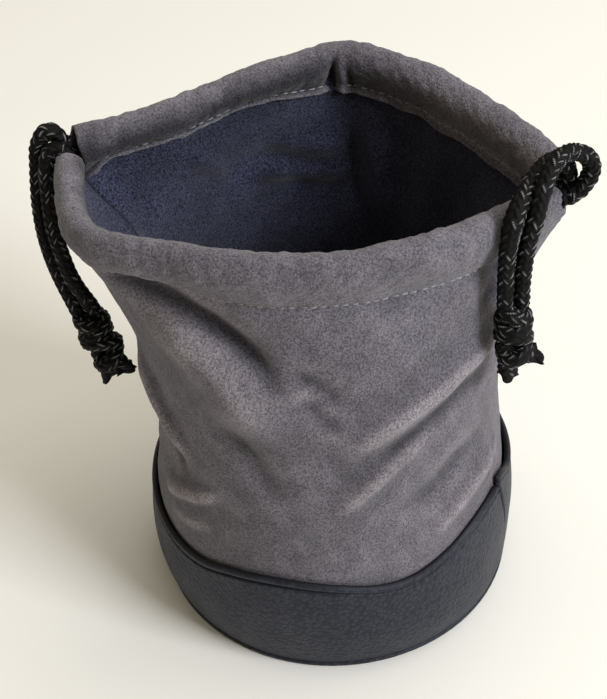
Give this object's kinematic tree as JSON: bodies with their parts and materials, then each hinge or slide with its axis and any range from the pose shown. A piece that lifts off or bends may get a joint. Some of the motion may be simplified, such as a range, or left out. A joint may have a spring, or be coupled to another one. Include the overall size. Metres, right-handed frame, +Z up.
{
  "type": "lens pouch",
  "caption": "Soft drawstring lens pouch: grey suede body with folded cord hems, dark lining, pebbled black band round a stiff round base, and braided cords knotted at the sides.",
  "frame": {"origin": "centre of the flat underside of the base", "axes": "+Z up through the mouth, -Y the front with the wider bare band, the cords leave at -X and +X"},
  "size_m": [0.1646, 0.1214, 0.1666],
  "materials": {
    "suede": "brushed grey suede, uneven nap",
    "lining": "brushed navy-grey cloth",
    "grained_band": "black pebbled synthetic leather, soft sheen",
    "braid": "black braided cord with light flecks",
    "board": "stiff fibre board",
    "foam": "soft foam"
  },
  "bodies": {
    "pouch": {"base_cover": "grained_band", "base_board": "board", "base_foam": "foam", "base_lining": "lining", "band_front": "grained_band", "band_rear": "grained_band", "suede_front": "suede", "suede_rear": "suede", "lining_front": "lining", "lining_rear": "lining"},
    "front_rim": {"casing_front": "suede", "front_cord_run": "braid"},
    "rear_rim": {"casing_rear": "suede", "rear_cord_run": "braid"},
    "left_cord": {"left_lead_front": "braid", "left_lead_rear": "braid"},
    "right_cord": {"right_lead_front": "braid", "right_lead_rear": "braid"},
    "left_tail": {"left_strand_front": "braid", "left_strand_rear": "braid", "left_knot": "braid", "left_end_front": "braid", "left_end_rear": "braid"},
    "right_tail": {"right_strand_front": "braid", "right_strand_rear": "braid", "right_knot": "braid", "right_end_front": "braid", "right_end_rear": "braid"}
  },
  "joints": [
    {"name": "left_cord_pull", "type": "slide", "parent": "pouch", "child": "left_cord", "axis": [-1, 0, 0], "range_m": [0, 0.018], "deforming": ["left_lead_front", "left_lead_rear"]},
    {"name": "right_cord_pull", "type": "slide", "parent": "pouch", "child": "right_cord", "axis": [1, 0, 0], "range_m": [0, 0.018], "deforming": ["right_lead_front", "right_lead_rear"]},
    {"name": "front_rim_close", "type": "slide", "parent": "pouch", "child": "front_rim", "axis": [0, 1, 0], "range_m": [0, 0.04], "deforming": ["casing_front", "front_cord_run"]},
    {"name": "rear_rim_close", "type": "slide", "parent": "pouch", "child": "rear_rim", "axis": [0, -1, 0], "range_m": [0, 0.04], "deforming": ["casing_rear", "rear_cord_run"]},
    {"name": "left_tail_swing", "type": "hinge", "parent": "left_cord", "child": "left_tail", "pos_m": [-0.078, 0.003, 0.1535], "axis": [0, 1, 0], "range_deg": [0, 80]},
    {"name": "right_tail_swing", "type": "hinge", "parent": "right_cord", "child": "right_tail", "pos_m": [0.0655, -0.0075, 0.16], "axis": [-0.7507, -0.6606, 0], "range_deg": [0, 70]}
  ],
  "couplings": [
    {"joint": "right_cord_pull", "follows": "left_cord_pull", "ratio": 1},
    {"joint": "front_rim_close", "follows": "left_cord_pull", "ratio": 2.222},
    {"joint": "rear_rim_close", "follows": "left_cord_pull", "ratio": 2.222}
  ]
}
